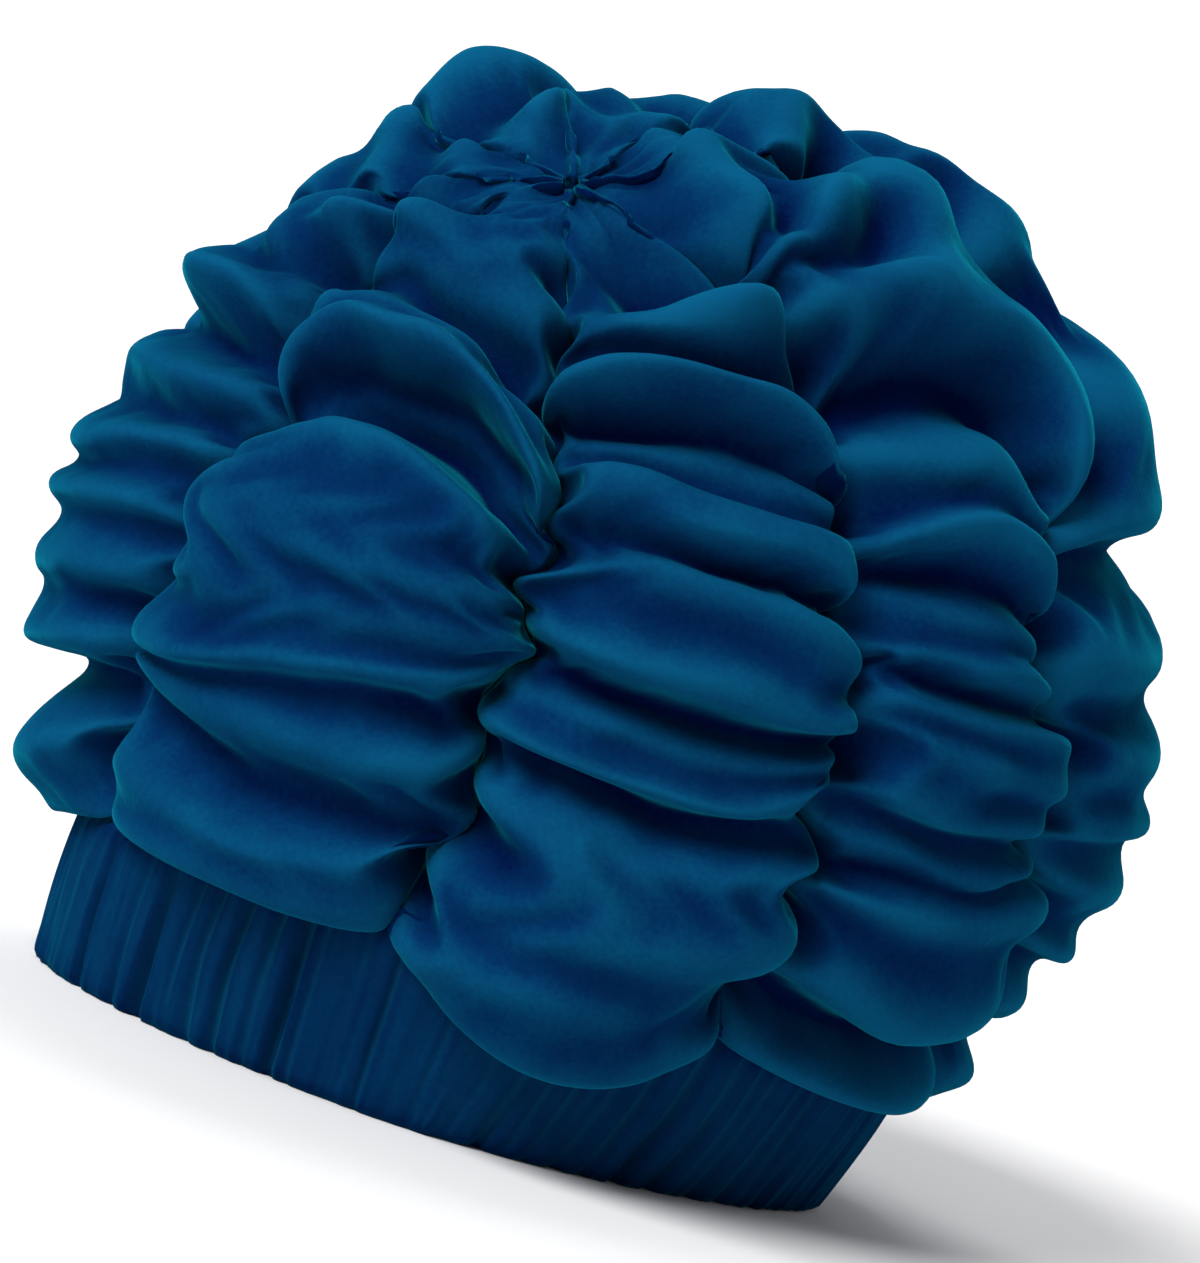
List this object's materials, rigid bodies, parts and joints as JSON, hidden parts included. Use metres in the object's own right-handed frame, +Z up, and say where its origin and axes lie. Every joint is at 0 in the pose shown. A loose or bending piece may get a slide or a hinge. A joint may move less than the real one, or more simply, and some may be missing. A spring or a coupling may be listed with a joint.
{
  "type": "swim cap",
  "caption": "Ruched fabric swim cap with gathered crown panels, a small gathered top and a pleated stretch band round the open bottom.",
  "frame": {"origin": "bottom centre of the whole cap, at the level of the band's lower edge", "axes": "+Z up through the crown, -X toward the front of the wearer's head, -Y toward the side with the broadest fold"},
  "size_m": [0.2489, 0.2186, 0.2235],
  "materials": {
    "panel_cloth": "soft brushed stretch velvet with a teal sheen at grazing angles",
    "band_cloth": "matte stretch knit gathered in fine pleats"
  },
  "bodies": {
    "root": {"crown_panel_1": "panel_cloth", "crown_panel_2": "panel_cloth", "crown_panel_3": "panel_cloth", "crown_panel_4": "panel_cloth", "crown_panel_5": "panel_cloth", "crown_panel_6": "panel_cloth", "crown_panel_7": "panel_cloth", "crown_panel_8": "panel_cloth", "stretch_band": "band_cloth"}
  },
  "joints": []
}
